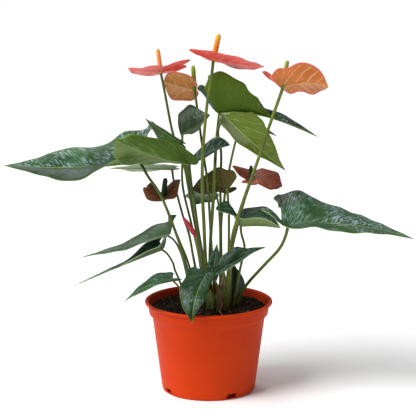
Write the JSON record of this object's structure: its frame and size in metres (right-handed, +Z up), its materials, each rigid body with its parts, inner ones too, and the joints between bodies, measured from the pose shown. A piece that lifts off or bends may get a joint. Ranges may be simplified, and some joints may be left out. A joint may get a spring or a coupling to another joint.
{
  "type": "potted anthurium plant",
  "caption": "Potted flamingo flower with long heart-shaped leaves and coral and faded flowers, in a terracotta-coloured plastic nursery pot.",
  "frame": {"origin": "centre of the pot's flat underside, on the surface it stands on", "axes": "+Z up; +X along the widest spread of the leaves, towards the large single leaf; -Y towards the side the top flower leans out over"},
  "size_m": [0.5221, 0.1808, 0.4684],
  "materials": {
    "leaf": "glossy dark-green leaf, matte paler underside",
    "petiole": "satin olive-green stalk",
    "peduncle": "satin olive-green flower stalk",
    "spathe_red": "waxy coral-red spathe",
    "spathe_tan": "waxy tan-orange underside of an older spathe",
    "spathe_brown": "faded brown spathe",
    "spadix_orange": "fine-grained orange and yellow spike",
    "spadix_green": "fine-grained green spike",
    "bud_red": "furled red bud on a red-green stalk",
    "bud_brown": "faded furled flower on a green stalk",
    "sheath": "dry papery sheath",
    "root": "bare tan aerial root",
    "soil": "dark potting peat, grainy",
    "pot": "terracotta-orange moulded plastic, soft sheen"
  },
  "bodies": {
    "root": {"aerial_root": "root", "bud_brown": "bud_brown", "bud_red": "bud_red", "leaf_centre_back": "leaf", "leaf_front": "leaf", "leaf_left_back": "leaf", "leaf_left_flat": "leaf", "leaf_left_long": "leaf", "leaf_left_upper": "leaf", "leaf_low_left_middle": "leaf", "leaf_low_left_small": "leaf", "leaf_low_left_upper": "leaf", "leaf_low_right_back": "leaf", "leaf_low_right_upper": "leaf", "leaf_right_long": "leaf", "leaf_right_middle": "leaf", "leaf_small_upper": "leaf", "leaf_top": "leaf", "leaf_top_hanging": "leaf", "leaf_young": "leaf", "peduncle_brown_centre": "peduncle", "peduncle_brown_left": "peduncle", "peduncle_brown_right": "peduncle", "peduncle_left": "peduncle", "peduncle_right": "peduncle", "peduncle_top": "peduncle", "peduncle_upper_back": "peduncle", "petiole_centre_back": "petiole", "petiole_front": "petiole", "petiole_left_back": "petiole", "petiole_left_flat": "petiole", "petiole_left_long": "petiole", "petiole_left_upper": "petiole", "petiole_low_left_middle": "petiole", "petiole_low_left_small": "petiole", "petiole_low_left_upper": "petiole", "petiole_low_right_back": "petiole", "petiole_low_right_upper": "petiole", "petiole_right_long": "petiole", "petiole_right_middle": "petiole", "petiole_small_upper": "petiole", "petiole_top": "petiole", "petiole_top_hanging": "petiole", "pot": "pot", "sheath": "sheath", "soil": "soil", "spadix_brown_centre": "spadix_green", "spadix_brown_left": "spadix_green", "spadix_brown_right": "spadix_green", "spadix_left": "spadix_orange", "spadix_right": "spadix_green", "spadix_top": "spadix_orange", "spadix_upper_back": "spadix_green", "spathe_brown_centre": "spathe_brown", "spathe_brown_left": "spathe_brown", "spathe_brown_right": "spathe_brown", "spathe_left": "spathe_red", "spathe_right": "spathe_tan", "spathe_top": "spathe_red", "spathe_upper_back": "spathe_tan"}
  },
  "joints": []
}
